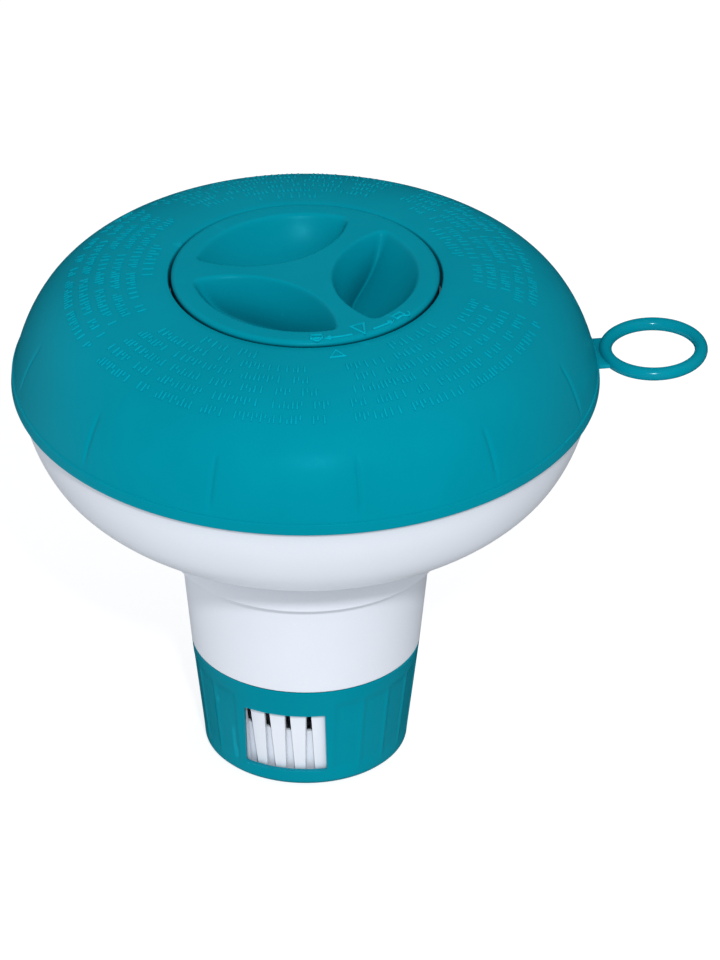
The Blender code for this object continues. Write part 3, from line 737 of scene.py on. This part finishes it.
CUP_LOW, CUP_FLOOR, CUP_TOP, CUP_WALL = 2.6, 5.0, 17.5, 1.5
CUP_STEP_Z = 3.3        # top of the wider step at its foot
cup_step_r = dial_r(CUP_LOW) - DIAL_WALL - 0.6

floor_plug = lathe("floor_fine", rounded([
    (0.0, CUP_LOW), (cup_step_r, CUP_LOW, 0.2), (cup_step_r, CUP_STEP_Z, 0.2),
    (cup_r(3.6), CUP_STEP_Z, 0.1), (cup_r(CUP_TOP), CUP_TOP, 0.4),
    (cup_r(CUP_TOP) - CUP_WALL, CUP_TOP, 0.5), (cup_r(6.5) - CUP_WALL, CUP_FLOOR, 1.6),
    (0.0, CUP_FLOOR)], steps=5), white_floor, closed=False)
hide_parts("tube_floor")
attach(floor_plug, "float")


# ------------------------------------------------------------------ screw thread
THREAD_STARTS, THREAD_LEAD, THREAD_SPAN = 3, 24.0, 60.0     # lead in mm, span in degrees
THREAD_TALL, THREAD_STEPS = 2.0, 40


def thread(root_r, crest_r, middle):
    """Rounded helical ridges about a height over the parting plane, buried at the root."""
    ridges = []
    for start in range(THREAD_STARTS):
        sections = []
        for i in range(THREAD_STEPS + 1):
            share = i / THREAD_STEPS
            angle = math.radians(360.0 * start / THREAD_STARTS + THREAD_SPAN * (share - 0.5))
            z = SEAM + middle + THREAD_LEAD * THREAD_SPAN / 360.0 * (share - 0.5)
            to_end = min(share, 1.0 - share)    # the ridge tapers at both ends
            half = THREAD_TALL / 2 * min(1.0, 0.3 + 5.0 * to_end)
            crest = root_r + (crest_r - root_r) * (0.45 + 0.55 * min(1.0, 6.0 * to_end))
            flank = root_r + (crest - root_r) * 0.85
            outline = ((root_r, -half), (flank, -half * 0.66), (crest, -half * 0.48),
                       (crest, half * 0.48), (flank, half * 0.66), (root_r, half))
            sections.append([polar(angle, r, z + rise) for r, rise in outline])
        ridges.append(loft(sections))
    return ridges


tube_thread = add_parts("tube_thread", thread(34.9, 33.0, 20.6), white_tube)
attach(tube_thread, "float")


# ------------------------------------------------------------------ flow dial
DIAL_TOP = 33.2
DIAL_FLOOR = 2.2                    # top of its bottom wall
WINDOW_BEARING = -11.75             # middle of the first of three windows
WINDOW_HALF = 11.6                  # half the width
WINDOW_LOW, WINDOW_TOP = 5.1, 24.9
FLUTE_PITCH, FLUTE_DEPTH = 16.5, 0.36
PANEL_START, PANEL_END = -39.0, 15.0    # plain panel round the first window

side_low, side_top = 3.6, DIAL_TOP - 0.6
dial_foot = rounded([(0.0, 0.0), (26.95, 0.0, 1.3), (28.4, 1.4, 1.7),
                     (dial_r(side_low), side_low)], steps=7)
dial_profile = [(8.0 * k, 0.0) for k in range(4)] + dial_foot[1:]
dial_profile += [(dial_r(z), z) for z in np.linspace(side_low, side_top, 34)][1:-1]
dial_profile += rounded([
    (dial_r(side_top), side_top), (dial_r(DIAL_TOP), DIAL_TOP, 0.45),
    (dial_r(DIAL_TOP) - DIAL_WALL, DIAL_TOP, 0.2),
    (dial_r(DIAL_FLOOR) - DIAL_WALL, DIAL_FLOOR, 0.5), (0.0, DIAL_FLOOR)], steps=4)


def dial_shape(theta, r, z, row):
    """Shallow grip scallops between crisp crests, with a plain panel round each window."""
    from_panel = (np.degrees(theta) + 90.0 - PANEL_START) % GROUP_PITCH
    panel = PANEL_END - PANEL_START
    share = ((from_panel - panel) % FLUTE_PITCH) / FLUTE_PITCH
    to_crest = np.minimum(share, 1.0 - share) * math.radians(FLUTE_PITCH) * r
    hollow = 0.3 * np.sin(np.pi * share) + 0.7 * (1.0 - np.exp(-(to_crest / 0.75) ** 2))
    scallop = np.where(from_panel > panel, hollow, 0.0)
    fade = np.clip((z - 3.0) / 3.5, 0, 1) * np.clip((28.9 - z) / 1.6, 0, 1)
    outside = (r > dial_r(z) - 0.35) & (z > 1.0) & (r > 20.0)
    return r - FLUTE_DEPTH * scallop * fade * fade * (3 - 2 * fade) * outside, z


dial = lathe("dial_fine", dial_profile, teal_dial, segs=segments(576), shape=dial_shape,
             closed=False)
window = rounded([(-WINDOW_HALF, WINDOW_LOW, 0.7), (WINDOW_HALF, WINDOW_LOW, 0.7),
                  (WINDOW_HALF, WINDOW_TOP, 0.45), (-WINDOW_HALF, WINDOW_TOP, 0.45)],
                 closed=True, steps=6)
cut_away(dial, add_parts("panes", [
    loft([[place(front(WINDOW_BEARING + GROUP_PITCH * group), r, across, z)
           for across, z in window] for r in (22.0, 36.0)])
    for group in range(GROUPS)], teal_dial))
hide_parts("flow_dial")
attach(dial, "dial")

# snap bead inside the dial, open where the stop rib travels
bead_out = dial_r(SNAP_Z) - DIAL_WALL + 0.5
bead_in = comb_r(SNAP_Z) - 0.55
bead = add_parts("dial_snap_bead", [swept(
    [math.radians(168.0 + 2.0 * i) for i in range(141)],
    ((bead_out, SNAP_Z - 0.85), (bead_in + 0.15, SNAP_Z - 0.4), (bead_in, SNAP_Z),
     (bead_in + 0.15, SNAP_Z + 0.4), (bead_out, SNAP_Z + 0.85)))], teal_dial)
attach(bead, "dial")


# ------------------------------------------------------------------ closure
CAP_R = 37.6
CAP_TOP = SEAM + 35.5
CAP_UNDER = SEAM + 30.8     # underside of the rim
CAP_FACE_R = 33.8           # top face out to here is drawn in fine rings
SKIRT_R, SKIRT_BORE = 32.6, 30.8
SKIRT_END = SEAM + 14.0
DISH_R, DISH_DEPTH, DISH_POWER = 31.6, 13.8, 4.6
# each finger pocket is bounded by a circle centred off the axis; draft slopes its wall
POCKET_CENTRE, POCKET_R, POCKET_DRAFT = 35.9, 28.4, 0.38
POCKETS, POCKET_PHASE = 3, math.radians(-3.0)


def smooth_min(one, two, width):
    share = np.clip(0.5 + 0.5 * (two - one) / width, 0, 1)
    return two * (1 - share) + one * share - width * share * (1 - share)


def smooth_max(one, two, width):
    return -smooth_min(-one, -two, width)


def cap_height(x, y, edge=1.25, crease=0.35, grow=0.0):
    """Height of the finger pockets from the top plane (zero or less), edges blended."""
    r = np.sqrt(x * x + y * y)
    dish_r = DISH_R + grow
    # a bowl that steepens evenly towards its edge and runs on upwards outside it
    dish = (-DISH_DEPTH * (1 - (np.minimum(r, dish_r) / dish_r) ** DISH_POWER)
            + np.clip(r - dish_r, 0, None) * DISH_DEPTH * DISH_POWER / dish_r)
    blend = crease + 4.94 * np.clip((r - 22.0) / 9.0, 0, 1) ** 2
    pockets = []
    for k in range(POCKETS):
        angle = math.tau * k / POCKETS + POCKET_PHASE
        distance = np.sqrt((x - POCKET_CENTRE * math.cos(angle)) ** 2
                           + (y - POCKET_CENTRE * math.sin(angle)) ** 2)
        pockets.append(smooth_max(dish, (distance - POCKET_R - grow) / POCKET_DRAFT, blend))
    floor = np.minimum.reduce(pockets)
    return smooth_min(np.zeros_like(floor), floor, edge)


cap_radii = [*np.linspace(0, 6, 14)[:-1], *np.linspace(6, CAP_FACE_R, 100)]
cap_face = [(r, CAP_TOP) for r in cap_radii]
cap_profile = cap_face + rounded([
    (CAP_FACE_R, CAP_TOP), (CAP_R, CAP_TOP, 1.5), (CAP_R, CAP_UNDER, 0.4),
    (SKIRT_R, CAP_UNDER, 0.2), (SKIRT_R, SKIRT_END, 0.5), (SKIRT_BORE, SKIRT_END, 0.4),
    (SKIRT_BORE, CAP_TOP - 2.2, 0.8), (29.9, CAP_TOP - 2.2)], steps=8)[1:]
cap_profile += [(r, CAP_TOP - 1.9) for r in np.linspace(29.6, 0, 44)]


def cap_shape(theta, r, z, row):
    """Press the pockets into the face, and let the underside follow them."""
    x, y = r * np.cos(theta), r * np.sin(theta)
    upper = cap_height(x, y)
    lower = np.minimum(upper, cap_height(x, y, edge=2.0, crease=1.0, grow=1.5) - 0.3)
    fade = np.clip((29.9 - r) / 1.2, 0, 1)
    on_face = row < len(cap_face)
    inside = ~on_face & (r < SKIRT_BORE + 0.05) & (z > CAP_TOP - 3.3)
    under = np.where(inside, z + upper + (lower - upper) * fade, z)
    return r, np.where(on_face, z + upper, under)


cap = lathe("cap_fine", cap_profile, teal_cap, segs=segments(432), shape=cap_shape,
            closed=False, crease=60.0)
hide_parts("screw_cap")
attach(cap, "cap")
cap_thread = add_parts("cap_thread", thread(31.9, 33.8, 17.6), teal_cap)
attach(cap_thread, "cap")


# ------------------------------------------------------------------ symbols on the closure's rim
ARROW_R, BARB_REACH = 35.9, 0.8
LOCK_HALF = 2.6                     # half the width of a padlock's body, in degrees
LOCK_INNER_R, LOCK_OUTER_R = 33.9, 35.7


def on_rim(r, bearing):
    return polar(front(bearing), r, CAP_TOP)


def padlock(middle, shift):
    """Outlined body with a hasp beyond it, which the shift in degrees moves sideways."""
    body = [on_rim(LOCK_OUTER_R, middle - LOCK_HALF), on_rim(LOCK_OUTER_R, middle + LOCK_HALF),
            on_rim(LOCK_INNER_R, middle + LOCK_HALF), on_rim(LOCK_INNER_R, middle - LOCK_HALF)]
    hasp = []
    for i in range(9):
        turn = math.pi * i / 8
        hasp.append(on_rim(LOCK_OUTER_R + 1.25 * math.sin(turn),
                           middle + shift - 1.7 * math.cos(turn)))
    return [(body, True), (hasp, False)]


def arrow(start, end, tip, barb):
    """Arc between two bearings with an open head."""
    shaft = [on_rim(ARROW_R, start + (end - start) * i / 9) for i in range(10)]
    head = [on_rim(ARROW_R + BARB_REACH, barb), on_rim(ARROW_R, tip),
            on_rim(ARROW_R - BARB_REACH, barb)]
    return [(shaft, False), (head, False)]


triangle = [on_rim(31.9, 23.4), on_rim(31.9, 30.4), on_rim(36.9, 26.8)]
symbol_lines = [
    *padlock(5.2, shift=0.0),
    *arrow(9.4, 21.4, tip=9.4, barb=11.6),
    (triangle, True),
    *arrow(31.8, 42.8, tip=42.8, barb=40.6),
    *padlock(48.0, shift=3.4)]
icons = add_parts("cap_symbols", [bar(line, ring, 0.34) for line, ring in symbol_lines], teal_icon_painted_highlight)
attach(icons, "cap")


# ------------------------------------------------------------------ seals
for name in ("cap_seal", "well_seal", "neck_seal"):
    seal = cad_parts[name]
    seal.data.materials.clear()
    seal.data.materials.append(rubber)


# ------------------------------------------------------------------ stage floor
# Pale and seen only by the camera; the light it would send up is part of the sky below.
floor_mat = bpy.data.materials.new("stage_floor")
floor_mat.use_nodes = True
floor_bsdf = floor_mat.node_tree.nodes["Principled BSDF"]
for socket, value in (
        ("Base Color", (0.30, 0.305, 0.31, 1.0)), ("Roughness", 0.9),
        ("Specular IOR Level", 0.0), ("Emission Color", (1.0, 1.0, 1.0, 1.0)),
        ("Emission Strength", 0.80)):
    floor_bsdf.inputs[socket].default_value = value
bpy.ops.mesh.primitive_plane_add(size=30.0, location=(0, 0, 0))
floor = bpy.context.object
floor.name = "stage_floor"
floor.data.materials.append(floor_mat)
floor.visible_diffuse = False
floor.visible_glossy = False
floor.visible_shadow = False
floor.visible_transmission = False


# ------------------------------------------------------------------ sky
AMBIENT = 0.075
# (bearing from the front towards +X, elevation, tightness, strength) of soft lobes of light
SKY_LOBES = (
    (180, -45, 2.5, 0.75),      # behind, from below
    (0, -90, 1, 0.30),          # straight below
    (75, 70, 4, 1.25),          # overhead, to the right
    (-4, -15, 4, 1.46),         # front, a little below
    (-95, 26, 4, 0.52),         # left
    (-130, -12, 2.5, 0.72),     # behind left
    (130, -12, 2.5, 0.34),      # behind right
    (95, 12, 4, 0.12))          # right

world = bpy.data.worlds.new("studio")
bpy.context.scene.world = world
world.use_nodes = True
sky_tree = world.node_tree
background = sky_tree.nodes["Background"]
background.inputs["Color"].default_value = (0.985, 0.992, 1.0, 1.0)
sky_coord = add_node(sky_tree, "ShaderNodeTexCoord").outputs["Generated"]


def direction(bearing, elevation):
    turn, rise = math.radians(bearing), math.radians(elevation)
    return (math.sin(turn) * math.cos(rise), -math.cos(turn) * math.cos(rise), math.sin(rise))


def lobe(bearing, elevation, tightness, strength):
    facing = add_node(sky_tree, "ShaderNodeVectorMath",
                      {0: sky_coord, 1: direction(bearing, elevation)},
                      operation="DOT_PRODUCT").outputs["Value"]
    facing = math_node(sky_tree, "MAXIMUM", facing, 0.0)
    facing = math_node(sky_tree, "POWER", facing, tightness)
    return math_node(sky_tree, "MULTIPLY", facing, strength)


light = math_node(sky_tree, "ADD", lobe(*SKY_LOBES[0]), AMBIENT)
for entry in SKY_LOBES[1:]:
    light = math_node(sky_tree, "ADD", light, lobe(*entry))
# the camera sees a strength of at least one
camera_ray = add_node(sky_tree, "ShaderNodeLightPath").outputs["Is Camera Ray"]
light = math_node(sky_tree, "MAXIMUM", light, camera_ray)
sky_tree.links.new(light, background.inputs["Strength"])
world.cycles_visibility.glossy = False
world.cycles.sampling_method = "NONE"


# ------------------------------------------------------------------ key light and camera
def aim(ob, way):
    ob.rotation_euler = way.to_track_quat("-Z", "Y").to_euler()


KEY_TARGET = Vector((0.0, 0.0, 0.10))       # metres
KEY_DISTANCE = 2.0
key_data = bpy.data.lights.new("key", "AREA")
key_data.shape = "DISK"
key_data.size = 0.15
key_data.energy = 20.6
key = add_object("key", key_data)
key.location = KEY_TARGET + Vector(direction(5, 37.8)) * KEY_DISTANCE
aim(key, KEY_TARGET - key.location)

VIEW_ELEVATION = math.radians(31.8)
VIEW_DISTANCE = 6.0                         # metres
VIEW_RIGHT, VIEW_DROP = 15.27, 27.87        # shift across and down the view, in mm
view_target = Vector((VIEW_RIGHT, -VIEW_DROP * math.sin(VIEW_ELEVATION),
                      SEAM - VIEW_DROP * math.cos(VIEW_ELEVATION))) * MM
to_camera = Vector((0, -math.cos(VIEW_ELEVATION), math.sin(VIEW_ELEVATION)))

camera_data = bpy.data.cameras.new("view")
camera_data.sensor_fit = "VERTICAL"
camera_data.sensor_height = 24.0
camera_data.lens = 535.5                    # takes in a height of about 269 mm at the target
camera_data.clip_end = 60.0
camera = add_object("view", camera_data)
camera.location = view_target + to_camera * VIEW_DISTANCE
aim(camera, -to_camera)
bpy.context.scene.camera = camera
bpy.context.scene.view_settings.view_transform = "Standard"
